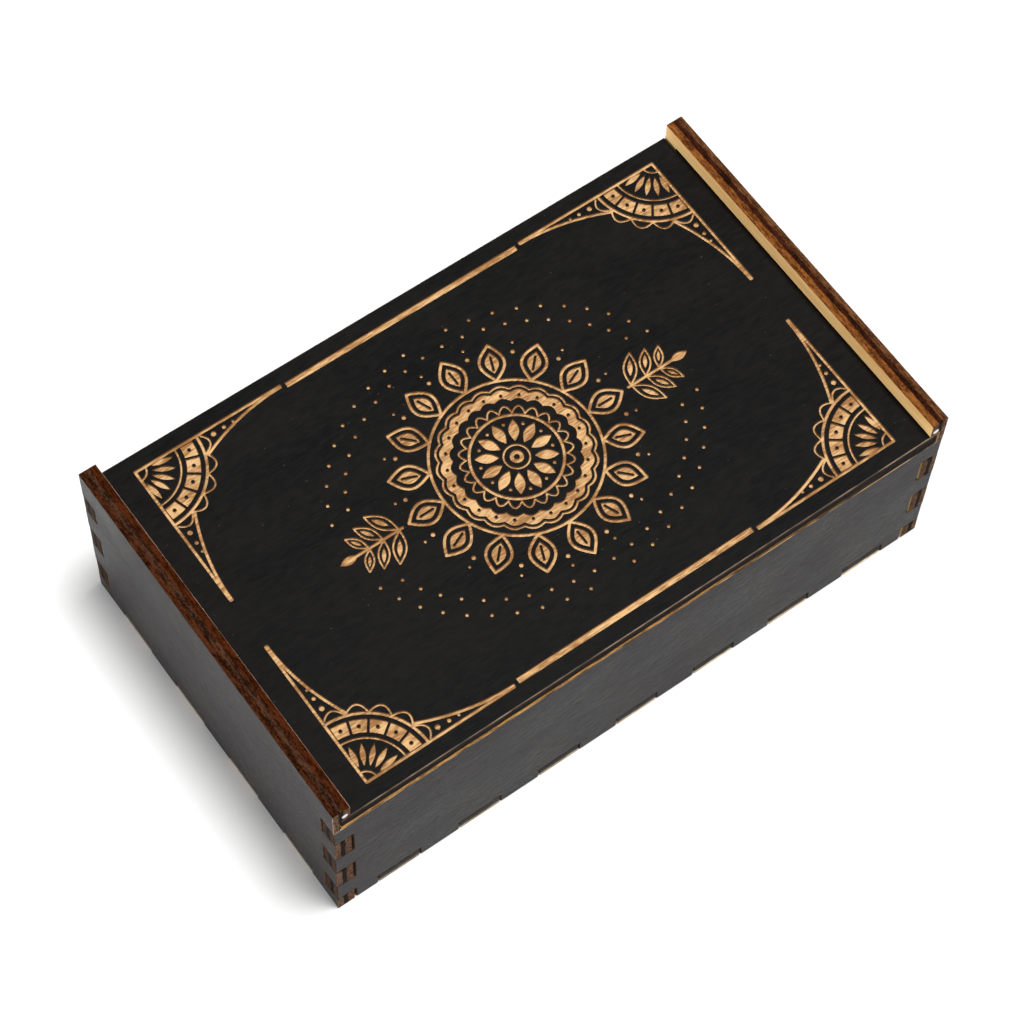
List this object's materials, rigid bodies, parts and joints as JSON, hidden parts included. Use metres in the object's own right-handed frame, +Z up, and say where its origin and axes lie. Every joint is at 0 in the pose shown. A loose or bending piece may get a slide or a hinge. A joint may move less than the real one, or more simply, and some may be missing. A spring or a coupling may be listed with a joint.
{
  "type": "card deck box",
  "caption": "Finger-jointed plywood box for a deck of large cards, with an engraved lid that slides out in grooves under raised end rails.",
  "frame": {"origin": "centre of the underside, on the surface that the box stands on", "axes": "+X along the box's length, -Y the side that the lid slides out of, +Z up"},
  "size_m": [0.15, 0.0892, 0.0488],
  "materials": {
    "coated_ply": "matte black coat on plywood, laser-burnt brown edges",
    "raw_ply": "raw birch faces, laser-burnt edges",
    "engraved_ply": "matte black coat, engraved down to golden raw wood",
    "steel": "bright"
  },
  "bodies": {
    "box": {"front_wall": "coated_ply", "back_wall": "coated_ply", "left_end_wall": "coated_ply", "right_end_wall": "coated_ply", "bottom_panel": "raw_ply", "left_rail_pin": "steel", "right_rail_pin": "steel"},
    "lid": {"lid_panel": "engraved_ply"}
  },
  "joints": [
    {"name": "lid_slide", "type": "slide", "parent": "box", "child": "lid", "axis": [0, -1, 0], "range_m": [0, 0.085]}
  ]
}
